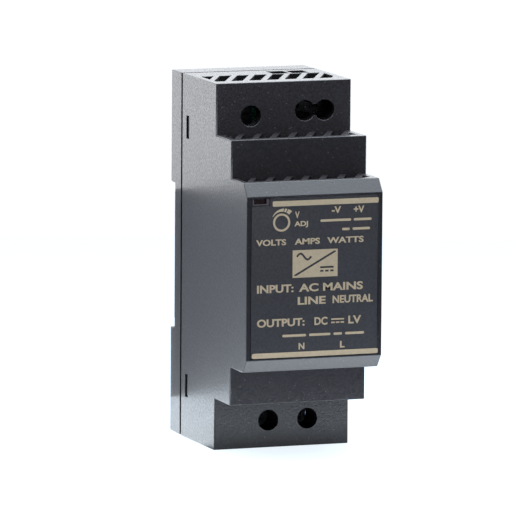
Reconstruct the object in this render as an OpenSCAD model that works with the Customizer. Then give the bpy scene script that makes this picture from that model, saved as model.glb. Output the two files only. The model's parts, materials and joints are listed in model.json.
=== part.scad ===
// Two-module DIN rail power supply: stepped case, sprung rail latch, cage clamp terminals,
// output trimmer and the populated board inside. Millimetres.
//
// Frame: +X is the viewer's right, the front looks towards -Y and +Z is up. The origin is the
// middle of the seat that the rail lies against. Inside the file a place is first given as
// x, depth forward of the back plane, and height above the base; in_frame() moves it.

/* [Case] */
// Width, two modules
case_w = 35; // [34.6:0.1:36]
// Height
case_h = 90; // [89.6:0.1:91]
// Depth from back plane to front face
case_d = 54.5; // [54:0.5:58]
// Wall thickness of the mouldings
wall = 1.6; // [1.5:0.05:1.7]
// Depth of the rear cover
seam_d = 7.7; // [7.6:0.05:7.8]

/* [Steps of the case] */
// Depth of the terminal shoulders
shoulder_d = 32.3; // [32:0.1:33]
// Height of each terminal shoulder
shoulder_h = 12.6; // [12.2:0.1:13]
// Depth of the middle step
step_d = 43.2; // [42.5:0.1:44]
// Height of the middle step's outer edge from the nearer end of the case
step_h = 21.9; // [21.5:0.1:22.5]
// Depth of the bevel above and below the front face
bevel_d = 2.6; // [2:0.1:3]
// Height of that bevel
bevel_h = 3.2; // [2.6:0.1:3.6]

/* [Vents] */
// Distance from one slot to the next
vent_pitch = 4.62; // [4.4:0.02:4.8]
// Width of a slot along X
vent_slot = 2.95; // [2.4:0.05:3.2]
// Slant of the slots against the depth axis
vent_angle = 27; // [20:1:32]

/* [Rail] */
// Height of the standard rail
rail_h = 35; // [34.8:0.1:35.2]
// Height of the rail's middle above the base
rail_z = 44.3; // [44:0.1:44.6]
// Depth of the seat that the rail lies against
seat_d = 2.7; // [2.6:0.1:2.8]
// Thickness of the rail's edge
rail_t = 1; // [0.9:0.05:1.1]
// Travel of the latch
latch_travel = 3; // [2:0.25:3.5]

/* [Terminals] */
// Distance between the two output poles
output_pitch = 5.08; // [5:0.02:5.1]
// Distance between the two input poles
input_pitch = 10.16; // [10:0.02:10.2]
// Diameter of the holes over the terminal screws
driver_hole_d = 5.1; // [4.8:0.05:5.1]
// Width of a wire opening in the case
wire_gap_w = 4.3; // [4.2:0.05:4.4]
// Depth of a wire opening in the case
wire_gap_d = 5; // [4.6:0.1:5]
// Diameter of a terminal screw
terminal_screw_d = 2.5; // [2.4:0.05:2.6]
// Travel of a clamp from open to closed
clamp_travel = 2.6; // [2:0.1:2.6]

/* [Adjustment and indicator] */
// Diameter of the hole over the trimmer
trimmer_hole_d = 5.2; // [4.8:0.1:5.6]
// Diameter of the trimmer's rotor
rotor_d = 4; // [3.6:0.1:4.2]
// Width of the indicator window
window_w = 4.4; // [4:0.1:4.6]
// Height of the indicator window
window_h = 1.9; // [1.7:0.1:2.1]

/* [Hidden] */
$fn = 32;

cut = 0.1;                       // how far a cutting shape runs past the wall it cuts
half_w = case_w / 2;
inner_half_w = half_w - wall;
fine = 48;                       // segments of the larger circles

// Plastics, metals and coatings
case_grey = [0.20, 0.21, 0.23];
label_grey = [0.24, 0.25, 0.27];
board_green = [0.10, 0.34, 0.18];
terminal_black = [0.10, 0.10, 0.11];
tin = [0.78, 0.78, 0.76];
steel = [0.70, 0.70, 0.72];
copper = [0.72, 0.40, 0.20];
chip_black = [0.09, 0.09, 0.10];
ferrite_grey = [0.22, 0.22, 0.23];
can_blue = [0.12, 0.16, 0.32];
disc_blue = [0.15, 0.30, 0.60];
tape_yellow = [0.88, 0.76, 0.24];

// ---- Placing ---------------------------------------------------------------------------------

// From x, -depth, height above the base to the frame of the part
module in_frame() {
    translate([0, seat_d, -rail_z]) children();
}

// A block given by its x, depth and height spans
module block(xs, ds, zs) {
    translate([xs[0], -ds[1], zs[0]]) cube([xs[1] - xs[0], ds[1] - ds[0], zs[1] - zs[0]]);
}

// An outline of [-depth, height] points drawn out along X, centred
module across(width) {
    translate([-width / 2, 0, 0]) rotate([90, 0, 90]) linear_extrude(width) children();
}

// A round bar along the depth axis, between two depths
module depth_rod(x, z, r, ds) {
    translate([x, -ds[0], z]) rotate([90, 0, 0]) cylinder(r = r, h = ds[1] - ds[0], $fn = fine);
}

// Stand a component on the board: its x stays X, its y runs up and its z runs to the front
module on_board(at) {
    translate([at.x, -board_front_d, at.y]) rotate([90, 0, 0]) children();
}

module centred_block(w, l, z0, z1) {
    translate([-w / 2, -l / 2, z0]) cube([w, l, z1 - z0]);
}

// ---- Case outline ----------------------------------------------------------------------------

bevel_angle = atan2(bevel_h, bevel_d);

// Lower half of the stepped outline, set in by g from the outer faces
function lower_outline(g, rear) = [
    [-rear, g],
    [-(shoulder_d - g), g],
    [-(shoulder_d - g), shoulder_h + g],
    [-(step_d - g), shoulder_h + g],
    [-(step_d - g), step_h + g],
    [-(case_d - bevel_d - g * tan(bevel_angle / 2)), step_h + g],
    [-(case_d - g), step_h + bevel_h + g * tan(45 - bevel_angle / 2)],
];

function flipped(points) = [
    for (i = [len(points) - 1 : -1 : 0]) [points[i][0], case_h - points[i][1]]
];

module stepped_outline(g, rear) {
    polygon(concat(lower_outline(g, rear), flipped(lower_outline(g, rear))));
}

// ---- Vents and openings in the housing -------------------------------------------------------

vent_edge = half_w - wall;       // the slots are cut off at the side walls
shoulder_vent = [16.6, 28];      // back and front end of the slots in the end faces
step_vent = [shoulder_d, 41];    // and in the ledges behind the middle step's face
nose_vent = [step_d, 50];        // and in the ledges behind the bevels
vent_lean = tan(vent_angle);
vents_across = 9;

// One row of slanted slots, cut through a wall between two heights; first_x is the left edge of
// the first slot at its front end
module vent_row(ds, zs, first_x) {
    lean = (ds[1] - ds[0]) * vent_lean;
    intersection() {
        block([-vent_edge, vent_edge], ds, zs);
        for (i = [0 : vents_across - 1])
            translate([first_x + i * vent_pitch, 0, zs[0]])
                linear_extrude(zs[1] - zs[0])
                    polygon([[0, -ds[1]], [vent_slot, -ds[1]],
                             [vent_slot + lean, -ds[0]], [lean, -ds[0]]]);
    }
}

// Where each row starts: the first slot of the end face's row is cut short by the side wall
shoulder_vent_x = -21.39;
step_vent_x = -19.1;
nose_vent_x = -18.9;

// The three rows of one end; up is true for the upper end
module end_vents(up) {
    outer = 2 * cut;
    for (row = [[shoulder_vent, 0, shoulder_vent_x], [step_vent, shoulder_h, step_vent_x],
                [nose_vent, step_h, nose_vent_x]]) {
        z_edge = up ? case_h - row[1] : row[1];
        zs = up ? [z_edge - wall - cut, z_edge + outer] : [z_edge - outer, z_edge + wall + cut];
        vent_row(row[0], zs, row[2]);
    }
}

board_back_d = seam_d;
board_t = 1.6;
board_front_d = board_back_d + board_t;

// Poles of the two terminals: x of the screw
output_mid_x = 8.06;
input_mid_x = 1.65;
negative_x = output_mid_x - output_pitch / 2;
positive_x = output_mid_x + output_pitch / 2;
neutral_x = input_mid_x - input_pitch / 2;
line_x = input_mid_x + input_pitch / 2;
screw_in = 4;                    // screw axis behind the face that the wire enters
output_screw_z = 82.7;
input_screw_z = 6.7;
trimmer_x = -8.5;
trimmer_z = 81.8;
driver_tube_wall = 0.75;
driver_tube_d = 24.4;            // depth where the driver tubes end, just over the terminals
trimmer_tube_d = 28.6;
bridge_h = [-1.2, 1.5];          // lower and upper edge of the gap between the output holes
wire_gap_from_d = 10.8;

module driver_tubes() {
    tube_r = driver_hole_d / 2 + driver_tube_wall;
    for (x = [negative_x, positive_x])
        depth_rod(x, output_screw_z, tube_r, [driver_tube_d, shoulder_d - wall / 2]);
    for (x = [neutral_x, line_x])
        depth_rod(x, input_screw_z, tube_r, [driver_tube_d, shoulder_d - wall / 2]);
    depth_rod(trimmer_x, trimmer_z, trimmer_hole_d / 2 + driver_tube_wall,
              [trimmer_tube_d, shoulder_d - wall / 2]);
}

module driver_holes() {
    through = [driver_tube_d - 1, shoulder_d + 1];
    for (x = [negative_x, positive_x])
        depth_rod(x, output_screw_z, driver_hole_d / 2, through);
    for (x = [neutral_x, line_x])
        depth_rod(x, input_screw_z, driver_hole_d / 2, through);
    depth_rod(trimmer_x, trimmer_z, trimmer_hole_d / 2, [trimmer_tube_d - 1, shoulder_d + 1]);
    block([negative_x, positive_x], through,
          [output_screw_z + bridge_h[0], output_screw_z + bridge_h[1]]);
}

module wire_openings() {
    ds = [wire_gap_from_d, wire_gap_from_d + wire_gap_d];
    for (x = [negative_x, positive_x])
        block([x - wire_gap_w / 2, x + wire_gap_w / 2], ds, [case_h - wall - cut, case_h + cut]);
    for (x = [neutral_x, line_x])
        block([x - wire_gap_w / 2, x + wire_gap_w / 2], ds, [-cut, wall + cut]);
}

// Slits in both side walls that the rear cover's hooks snap into
slit_d = [11.1, 12.9];
slit_len = 5.5;
slit_from_end = 10.2;
function slit_low(up) = up ? case_h - slit_from_end - slit_len : slit_from_end;

module snap_slits() {
    for (up = [false, true])
        block([-half_w - cut, half_w + cut], slit_d, [slit_low(up), slit_low(up) + slit_len]);
}

// Label recess and indicator window in the front face
label_half_w = 16.4;
label_margin = 0.35;
label_recess = 0.5;
label_t = 0.4;
front_low_z = step_h + bevel_h;
front_high_z = case_h - front_low_z;
window_x = -13.85;
window_z = 63.65;

module window_block(grow, ds) {
    block([window_x - window_w / 2 - grow, window_x + window_w / 2 + grow], ds,
          [window_z - window_h / 2 - grow, window_z + window_h / 2 + grow]);
}

// Columns in the four corners that hold the board down
column_x = 13.6;
column_z = 5;

module corner_blocks(ds) {
    for (side = [-1, 1], up = [false, true]) {
        xs = side < 0 ? [-inner_half_w - cut, -column_x] : [column_x, inner_half_w + cut];
        zs = up ? [case_h - column_z, case_h - wall + cut] : [wall - cut, column_z];
        block(xs, ds, zs);
    }
}

module front_housing() in_frame() color(case_grey) {
    difference() {
        across(case_w) stepped_outline(0, seam_d);
        difference() {
            across(case_w - 2 * wall) stepped_outline(wall, seam_d - 1);
            corner_blocks([board_front_d, shoulder_d]);
            driver_tubes();
        }
        for (up = [false, true]) end_vents(up);
        driver_holes();
        wire_openings();
        snap_slits();
        block([-label_half_w, label_half_w], [case_d - label_recess, case_d + 1],
              [front_low_z + label_margin, front_high_z - label_margin]);
        window_block(0, [case_d - 2 * wall, case_d + 1]);
    }
}

// ---- Rear cover, rail hook and latch ---------------------------------------------------------

back_t = 1.8;                    // thickness of the cover's walls that face the rail
seat_half_h = rail_h / 2 + 0.4;
notch_low_z = rail_z - seat_half_h;
notch_high_z = rail_z + seat_half_h;
floor_d = seat_d + back_t;       // inner floor of the cover behind the seat
lip_gap = 0.1;
lip_t = 1;
lip_half_w = inner_half_w - lip_gap;
lip_top_d = 10.5;
lip_low_z = 6;
tab_top_d = 13.4;
barb_out = 1.3;
hook_reach = 1.9;                // how far the hook hangs down behind the rail's edge
seat_relief = 0.25;              // depth of the relief in the seat beside hooks and latch
seat_low_z = rail_z - 15.8;
seat_high_z = rail_z + 15.8;
hook_d = [0.1, 1.4];

latch_low_z = 0.3;
latch_top_z = notch_low_z - 0.1;
latch_half_w = 6.7;
latch_neck_half_w = 5.7;
latch_play = 0.2;
latch_d = [0.2, 1, 3.2];         // back of the neck, back of the plate, front of the plate
nose_top_z = rail_z - rail_h / 2 + 1.4;
nose_front_d = seat_d - rail_t - 0.15;

spring_window_half_w = 1.8;
lug_top_z = 11;
spring_solid = 8;                // length of the spring when the latch is pulled right out
spring_window_z = [9, lug_top_z + spring_solid + latch_travel];
lug_half_w = 1.3;
spring_r = 1.15;                 // radius of the coil at the middle of its wire
spring_wire = 0.4;
spring_turns = 8;
spring_mid_d = 1.85;

module latch_channel() {
    channel_front = latch_d[2] + latch_play;
    difference() {
        union() {
            block([-latch_half_w - latch_play, latch_half_w + latch_play],
                  [latch_d[1] - latch_play, channel_front], [-cut, notch_low_z + cut]);
            block([-latch_neck_half_w - latch_play, latch_neck_half_w + latch_play],
                  [-cut, latch_d[1]], [-cut, notch_low_z + cut]);
        }
        block([-lug_half_w, lug_half_w], [latch_d[1], channel_front + cut],
              [spring_window_z[0] + cut, lug_top_z]);
    }
}

// Hollow of the cover: deep above the seat and beside the latch, shallow behind both
module cover_hollow() {
    channel_side = latch_half_w + latch_play + back_t;
    block([-inner_half_w, inner_half_w], [floor_d, seam_d + cut], [wall, case_h - wall]);
    block([-inner_half_w, inner_half_w], [back_t, floor_d + cut],
          [notch_high_z + back_t, case_h - wall]);
    for (xs = [[-inner_half_w, -channel_side], [channel_side, inner_half_w]])
        block(xs, [back_t, floor_d + cut], [wall, notch_low_z - back_t]);
}

// A strip inside each side wall that enters the housing, with two hooked tabs
module cover_lip(side) {
    xs = side < 0 ? [-lip_half_w, -lip_half_w + lip_t] : [lip_half_w - lip_t, lip_half_w];
    foot = side < 0 ? [-inner_half_w - cut, -lip_half_w + lip_t]
                    : [lip_half_w - lip_t, inner_half_w + cut];
    block(foot, [floor_d - cut, seam_d], [lip_low_z, case_h - lip_low_z]);
    block(xs, [seam_d - cut, lip_top_d], [lip_low_z, case_h - lip_low_z]);
    for (up = [false, true]) {
        block(xs, [lip_top_d - cut, tab_top_d],
              [slit_low(up) - 0.4, slit_low(up) + slit_len + 0.4]);
        translate([0, 0, slit_low(up) + 0.3])
            linear_extrude(slit_len - 0.6)
                polygon([[side * (lip_half_w - cut), -slit_d[0] - 0.15],
                         [side * (lip_half_w + barb_out), -slit_d[0] - 0.15],
                         [side * (lip_half_w + barb_out), -slit_d[0] - 0.6],
                         [side * (lip_half_w - cut), -slit_d[1] + 0.1]]);
    }
}

module rail_hooks() {
    for (xs = [[-14, -4], [4, 14]])
        block(xs, hook_d, [notch_high_z - hook_reach, notch_high_z + cut]);
}

module rear_cover() in_frame() color(case_grey) {
    difference() {
        across(case_w)
            polygon([[-seam_d, 0], [-seam_d, case_h], [0, case_h], [0, notch_high_z + 0.5],
                     [-0.5, notch_high_z + 0.1], [-seat_d - seat_relief, notch_high_z],
                     [-seat_d - seat_relief, seat_high_z], [-seat_d, seat_high_z],
                     [-seat_d, seat_low_z], [-seat_d - seat_relief, seat_low_z],
                     [-seat_d - seat_relief, notch_low_z], [0, notch_low_z - 0.3], [0, 0]]);
        cover_hollow();
        latch_channel();
    }
    corner_blocks([back_t - cut, board_back_d]);
    for (side = [-1, 1]) cover_lip(side);
    rail_hooks();
}

module rail_latch() in_frame() color([0.16, 0.17, 0.18]) {
    difference() {
        union() {
            block([-latch_half_w, latch_half_w], [latch_d[1], latch_d[2]],
                  [latch_low_z, latch_top_z]);
            block([-latch_neck_half_w, latch_neck_half_w], [latch_d[0], latch_d[1] + cut],
                  [latch_low_z, latch_top_z]);
            across(2 * latch_neck_half_w)
                polygon([[-latch_d[0], latch_top_z - 1], [-latch_d[0], nose_top_z],
                         [-latch_d[0] - 0.5, nose_top_z], [-nose_front_d, nose_top_z - 0.7],
                         [-nose_front_d, latch_top_z - 1]]);
        }
        block([-spring_window_half_w, spring_window_half_w], [-cut, latch_d[2] + cut],
              spring_window_z);
        block([-3, 3], [-cut, latch_d[2] + cut], [2.2, 4.4]);
    }
}

spring_low_z = lug_top_z;
spring_len = spring_window_z[1] - spring_low_z;
spring_steps = 12;
spring_sides = 6;

// Centre of the wire after so many steps; the end turns lie closer together
function spring_rise(t) = spring_wire / 2 + (spring_len - spring_wire) * (t - sin(360 * t) / 14);
function spring_point(i) = let (t = i / (spring_turns * spring_steps), a = 360 * i / spring_steps)
    [spring_r * cos(a), spring_r * sin(a), spring_rise(t)];

// Ring of points round the wire at that step
function spring_ring(i) = let (a = 360 * i / spring_steps, c = spring_point(i)) [
    for (k = [0 : spring_sides - 1]) let (b = 360 * k / spring_sides, r = spring_wire / 2)
        [c[0] + r * cos(b) * cos(a), c[1] + r * cos(b) * sin(a), c[2] + r * sin(b)]
];

module latch_spring() in_frame() color(steel) {
    last = spring_turns * spring_steps;
    n = spring_sides;
    points = [for (i = [0 : last]) each spring_ring(i)];
    sides = [for (i = [0 : last - 1], k = [0 : n - 1])
        [i * n + k, i * n + (k + 1) % n, (i + 1) * n + (k + 1) % n, (i + 1) * n + k]];
    ends = [[for (k = [n - 1 : -1 : 0]) k], [for (k = [0 : n - 1]) last * n + k]];
    translate([0, -spring_mid_d, spring_low_z]) polyhedron(points, concat(sides, ends));
}

// ---- Label and light pipe --------------------------------------------------------------------

module front_label() in_frame() color(label_grey) {
    gap = 0.1;
    ds = [case_d - label_recess, case_d - label_recess + label_t];
    difference() {
        block([-label_half_w + gap, label_half_w - gap], ds,
              [front_low_z + label_margin + gap, front_high_z - label_margin - gap]);
        window_block(0.1, [ds[0] - cut, ds[1] + cut]);
    }
}

lens_sink = 1;                   // the lens lies this far behind the front face

module light_pipe() in_frame() color([0.75, 0.35, 0.35, 0.6]) {
    flange_d = case_d - wall;
    window_block(-0.05, [flange_d - cut, case_d - lens_sink]);
    block([-15.7, -11.4], [flange_d - 1, flange_d], [61.8, 64.2]);
    block([-15.4, -11.9], [13.6, flange_d - 1 + cut], [62.9, 64.4]);
}

// ---- Terminals -------------------------------------------------------------------------------

block_h = 14;                    // height of a terminal above the board
block_len = 9.8;
bar_z = [5.8, 6.7];              // the fixed contact that the wire is pressed against
bar_half_w = 1.3;
bar_leg = [7.8, 8.6];
cage_y = [screw_in - 2.2, screw_in + 2.2];
cage_z = [2.2, 3, 6.9, 8.1];     // under the floor, on the floor, under the nut, on the nut
cage_half_w = 1.95;
cage_inner_half_w = 1.45;
nut_play = 0.05;
head_z = [cage_z[3] + clamp_travel + 0.2, cage_z[3] + clamp_travel + 1.9];
head_r = 2.1;
thread_r = terminal_screw_d / 2;
output_entry_z = output_screw_z + screw_in;
input_entry_z = input_screw_z - screw_in;

// A pole's own axes: x across, y inward from the face that the wire enters, z off the board
module at_pole(x, up) {
    translate([x, -board_front_d, up ? output_entry_z : input_entry_z])
        rotate([90, 0, 0]) rotate([0, 0, up ? 180 : 0]) children();
}

module pole_cavity() {
    cavity_half_w = cage_half_w + 0.1;
    head_play = 0.15;
    translate([-cavity_half_w, 1.6, 2]) cube([2 * cavity_half_w, 6.2, head_z[0] - 2.1]);
    translate([0, screw_in, head_z[0] - 0.2]) cylinder(r = head_r + head_play, h = 2.1);
    translate([0, screw_in, head_z[1]]) cylinder(r = 1.9, h = block_h);
    translate([-1.7, -cut, 2.7]) cube([3.4, 2, 3.05]);
    translate([-bar_half_w - cut, 7.7, -cut]) cube([2 * (bar_half_w + cut), 1, 6.9]);
}

// Body of a terminal; offsets are the poles' places from its middle
module terminal_body(width, offsets) {
    difference() {
        translate([-width / 2, 0, 0]) cube([width, block_len, block_h]);
        for (x = offsets) translate([x, 0, 0]) pole_cavity();
        for (side = [-1, 1])
            translate([side * width / 2, block_len, -cut])
                cylinder(r = 0.8, h = block_h + 1, $fn = 4);
    }
}

module terminal_screw(x, up) in_frame() at_pole(x, up) color(steel) {
    difference() {
        translate([0, screw_in, 0]) union() {
            translate([0, 0, bar_z[1] + 0.05]) cylinder(r = thread_r, h = head_z[0] - bar_z[1]);
            translate([0, 0, head_z[0]]) cylinder(r = head_r, h = head_z[1] - head_z[0]);
        }
        translate([-head_r - 1, screw_in - 0.3, head_z[1] - 0.9]) cube([2 * head_r + 2, 0.6, 1]);
        translate([-0.3, screw_in - 1.2, head_z[1] - 0.9]) cube([0.6, 2.4, 1]);
    }
}

module wire_clamp(x, up) in_frame() at_pole(x, up) color(tin) {
    difference() {
        translate([-cage_half_w, cage_y[0], cage_z[0]])
            cube([2 * cage_half_w, cage_y[1] - cage_y[0], cage_z[3] - cage_z[0]]);
        translate([-cage_inner_half_w, cage_y[0] - 1, cage_z[1]])
            cube([2 * cage_inner_half_w, cage_y[1] - cage_y[0] + 2, cage_z[2] - cage_z[1]]);
        translate([0, screw_in, cage_z[2] - cut])
            cylinder(r = thread_r + nut_play, h = cage_z[3]);
    }
}

module contact_bar(x, up) in_frame() at_pole(x, up) color(copper) {
    translate([-bar_half_w, 2, bar_z[0]])
        cube([2 * bar_half_w, bar_leg[1] - 2, bar_z[1] - bar_z[0]]);
    translate([-bar_half_w, bar_leg[0], 0])
        cube([2 * bar_half_w, bar_leg[1] - bar_leg[0], bar_z[1]]);
}

module output_terminal_body() in_frame() color(terminal_black)
    at_pole(output_mid_x, true) terminal_body(10.5, [-output_pitch / 2, output_pitch / 2]);
module input_terminal_body() in_frame() color(terminal_black)
    at_pole(input_mid_x, false) terminal_body(15.8, [-input_pitch / 2, input_pitch / 2]);

module positive_screw() terminal_screw(positive_x, true);
module negative_screw() terminal_screw(negative_x, true);
module line_screw() terminal_screw(line_x, false);
module neutral_screw() terminal_screw(neutral_x, false);
module positive_clamp() wire_clamp(positive_x, true);
module negative_clamp() wire_clamp(negative_x, true);
module line_clamp() wire_clamp(line_x, false);
module neutral_clamp() wire_clamp(neutral_x, false);
module positive_contact() contact_bar(positive_x, true);
module negative_contact() contact_bar(negative_x, true);
module line_contact() contact_bar(line_x, false);
module neutral_contact() contact_bar(neutral_x, false);

// ---- Places on the board: x and height of each component's middle ------------------------------

fuse_at = [-10.2, 7.6];
varistor_at = [11.75, 8.1];
thermistor_at = [12.3, 22.4];
line_capacitor_at = [7.7, 15.4];
line_choke_at = [-8, 18.5];
bridge_at = [4.5, 22.2];
bulk_left_at = [-5.5, 31.6];
bulk_right_at = [8.1, 31.6];
primary_sink_at = [7.2, 41.2];
transistor_at = [9.4, 44.4];
supply_capacitor_at = [-11.7, 39.7];
snubber_capacitor_at = [10.4, 48.4];
snubber_resistor_at = [10.4, 51.5];
safety_capacitor_at = [10.6, 55];
optocoupler_at = [10.8, 59.2];
transformer_at = [-4, 51.8];
output_sink_at = [6.4, 62.8];
rectifier_at = [6.4, 66.1];
output_choke_at = [-6.9, 64.9];
output_left_at = [-0.6, 73];
output_right_at = [8.6, 72.7];
led_at = [-12.95, window_z];
header_at = [-9.6, 73.6];

radial_pitch = 3.5;              // between the leads of a small can
bulk_pitch = 5;
disc_pitch = 5;
box_pitch = 10;
package_pitch = 2.54;            // between the leads of a transistor package
transformer_pins = 4;            // in each of its two rows
transformer_row = 7.6;           // from the middle to a row of pins

function pair(at, pitch) = [[at.x - pitch / 2, at.y], [at.x + pitch / 2, at.y]];
function pair_up(at, pitch) = [[at.x, at.y - pitch / 2], [at.x, at.y + pitch / 2]];
function row(at, pitch, n) = [for (i = [0 : n - 1]) [at.x + (i - (n - 1) / 2) * pitch, at.y]];
function rows(at, gap, pitch, n) =
    concat(row([at.x, at.y - gap], pitch, n), row([at.x, at.y + gap], pitch, n));

fuse_leads = pair(fuse_at, 5.08);
varistor_leads = pair_up(varistor_at, disc_pitch);
thermistor_leads = pair_up(thermistor_at, disc_pitch);
line_capacitor_leads = pair(line_capacitor_at, box_pitch);
line_choke_leads = rows(line_choke_at, 5.2, 6, 2);
bridge_leads = rows(bridge_at, 1.9, 5.08, 2);
bulk_left_leads = pair(bulk_left_at, bulk_pitch);
bulk_right_leads = pair(bulk_right_at, bulk_pitch);
transistor_leads = row(transistor_at, package_pitch, 3);
supply_capacitor_leads = pair_up(supply_capacitor_at, 2);
snubber_capacitor_leads = pair(snubber_capacitor_at, 5);
snubber_resistor_leads = pair(snubber_resistor_at, 6.4);
safety_capacitor_leads = pair(safety_capacitor_at, disc_pitch);
optocoupler_leads = rows(optocoupler_at, 1.8, package_pitch, 2);
transformer_leads = rows(transformer_at, transformer_row, 3.81, transformer_pins);
rectifier_leads = row(rectifier_at, package_pitch, 3);
output_choke_leads = pair(output_choke_at, 5);
output_left_leads = pair(output_left_at, radial_pitch);
output_right_leads = pair(output_right_at, radial_pitch);
led_leads = pair(led_at, 1.6);
header_leads = [for (i = [-1.5 : 1.5]) [header_at.x, header_at.y + i * 1.8]];
contact_leads = [
    [positive_x, output_entry_z - bar_leg[0] - 0.4], [negative_x, output_entry_z - bar_leg[0] - 0.4],
    [line_x, input_entry_z + bar_leg[0] + 0.4], [neutral_x, input_entry_z + bar_leg[0] + 0.4],
];
all_leads = concat(
    fuse_leads, varistor_leads, thermistor_leads, line_capacitor_leads, line_choke_leads,
    bridge_leads, bulk_left_leads, bulk_right_leads, transistor_leads, supply_capacitor_leads,
    snubber_capacitor_leads, snubber_resistor_leads, safety_capacitor_leads, optocoupler_leads,
    transformer_leads, rectifier_leads, output_choke_leads, output_left_leads,
    output_right_leads, led_leads, header_leads, contact_leads
);

// Leads from the board up to a height
module leads(points, r, top) {
    for (p = points) on_board(p) cylinder(r = r, h = top, $fn = 16);
}

// ---- Boards ----------------------------------------------------------------------------------

board_half_w = 14.6;
board_low_z = 2;
isolation_slot = [[-11.6, 8.6], [61.7, 62.5]];

module main_board() in_frame() color(board_green) {
    difference() {
        block([-board_half_w, board_half_w], [board_back_d, board_front_d],
              [board_low_z, case_h - board_low_z]);
        block(isolation_slot[0], [board_back_d - cut, board_front_d + cut], isolation_slot[1]);
    }
}

module insulation_sheet() in_frame() color([0.85, 0.85, 0.78])
    block([-14.4, 14.4], [floor_d, floor_d + 0.25], [6, case_h - 6]);

module solder_joints() in_frame() color(tin)
    for (p = all_leads)
        translate([p.x, -board_back_d, p.y]) rotate([-90, 0, 0]) {
            cylinder(r1 = 0.85, r2 = 0.4, h = 1, $fn = 16);
            translate([0, 0, 0.9]) cylinder(r = 0.3, h = 0.7, $fn = 16);
        }

// Small surface-mounted parts on the back of the board: place, width and length
chip_places = [
    [[-12, 10.6], [2, 1.25]], [[-8.5, 11], [2, 1.25]], [[-2.5, 24.5], [1.25, 2]],
    [[-10, 26], [2, 1.25]], [[-12.5, 30], [1.25, 2]], [[-12.5, 34], [1.25, 2]],
    [[0.5, 38], [2, 1.25]], [[0.5, 42], [2, 1.25]], [[3.5, 47], [1.25, 2]],
    [[6.4, 54], [1.25, 2]], [[6.4, 57.5], [1.25, 2]], [[-11.5, 68.5], [2, 1.25]],
    [[-2, 68.5], [3.2, 1.6]], [[5, 69.5], [3.2, 1.6]], [[4, 76.5], [2, 1.25]],
    [[-4, 78.5], [2, 1.25]],
];
module board_chips() in_frame() color([0.30, 0.28, 0.25])
    for (c = chip_places)
        block([c[0].x - c[1].x / 2, c[0].x + c[1].x / 2], [board_back_d - 0.55, board_back_d],
              [c[0].y - c[1].y / 2, c[0].y + c[1].y / 2]);

// Flat package on the back of the board, four leads to a side
module controller_chip() in_frame() color(chip_black)
    translate([-6.5, -board_back_d, 38.6]) rotate([-90, 0, 0]) {
        centred_block(4.9, 3.9, 0.15, 1.6);
        for (side = [-1, 1], i = [-1.5 : 1.5])
            translate([i * 1.27 - 0.2, side > 0 ? 1.9 : -3, 0]) cube([0.4, 1.1, 0.35]);
    }

// ---- Feedback board, trimmer and indicator ---------------------------------------------------

feedback_x = [-12, -11];
feedback_d = [board_front_d, 27.6];
feedback_z = [70, 86.5];
trimmer_body_d = [19.4, 26.2];
rotor_d_span = [25.2, 27];

module feedback_board() in_frame() color(board_green)
    block(feedback_x, feedback_d, feedback_z);

module feedback_chips() in_frame() color(chip_black) {
    xs = [feedback_x[0] - 1.1, feedback_x[0]];
    block(xs, [14, 17], [72, 73.6]);
    for (z = [75.5, 77.5, 79.5, 81.5])
        block([feedback_x[0] - 0.5, feedback_x[0]], [13, 15], [z, z + 1.2]);
    for (z = [75.5, 78.5])
        block([feedback_x[0] - 0.6, feedback_x[0]], [18, 20], [z, z + 1.2]);
}

module feedback_header() in_frame() color(chip_black) {
    block([feedback_x[1], header_at.x + 1.2], [board_front_d + 0.6, board_front_d + 2.8],
          [header_at.y - 3.6, header_at.y + 3.6]);
    leads(header_leads, 0.3, 0.7);
}

module trimmer_body() in_frame() color([0.15, 0.28, 0.55]) {
    half = 2.5;
    difference() {
        block([feedback_x[1], trimmer_x + half], trimmer_body_d,
              [trimmer_z - 3.3, trimmer_z + 3.3]);
        depth_rod(trimmer_x, trimmer_z, rotor_d / 2 + 0.05, [rotor_d_span[0] - 0.05, 30]);
    }
}

module trimmer_rotor() in_frame() color([0.85, 0.82, 0.72]) {
    slot_d = [rotor_d_span[1] - 0.8, rotor_d_span[1] + cut];
    difference() {
        depth_rod(trimmer_x, trimmer_z, rotor_d / 2, rotor_d_span);
        block([trimmer_x - rotor_d, trimmer_x + rotor_d], slot_d,
              [trimmer_z - 0.3, trimmer_z + 0.3]);
    }
}

module indicator_led() in_frame() color([0.45, 0.75, 0.35]) {
    on_board(led_at) {
        translate([0, 0, 0.6]) cylinder(r = 1.5, h = 2);
        translate([0, 0, 2.2]) sphere(r = 1.45, $fn = fine);
        translate([0, 0, 0.6]) cylinder(r = 1.75, h = 0.6);
    }
    leads(led_leads, 0.25, 0.7);
}

// ---- Primary side ----------------------------------------------------------------------------

module fuse() in_frame() color([0.20, 0.13, 0.10]) {
    on_board(fuse_at) translate([0, 0, 0.5]) {
        cylinder(r = 3.7, h = 7.2, $fn = fine);
        translate([0, 0, 7.1]) cylinder(r = 3.3, h = 0.5, $fn = fine);
    }
    leads(fuse_leads, 0.3, 0.6);
}

// A coated disc standing on its two leads; along_z turns it to run up the board
module coated_disc(at, points, r, thick, along_z) {
    stand = 1.2;
    on_board(at) rotate([0, 0, along_z ? 90 : 0]) translate([0, 0, stand + r]) {
        rotate([90, 0, 0]) cylinder(r = r, h = thick, center = true, $fn = fine);
        rotate([90, 0, 0]) cylinder(r = r - 0.6, h = thick + 0.6, center = true, $fn = fine);
    }
    leads(points, 0.3, stand + r * 0.55);
}

module surge_varistor() in_frame() color(disc_blue)
    coated_disc(varistor_at, varistor_leads, 3.9, 2.6, true);
module inrush_thermistor() in_frame() color([0.13, 0.20, 0.16])
    coated_disc(thermistor_at, thermistor_leads, 3.6, 3, true);
module safety_capacitor() in_frame() color(disc_blue)
    coated_disc(safety_capacitor_at, safety_capacitor_leads, 3.6, 2.6, false);

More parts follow.
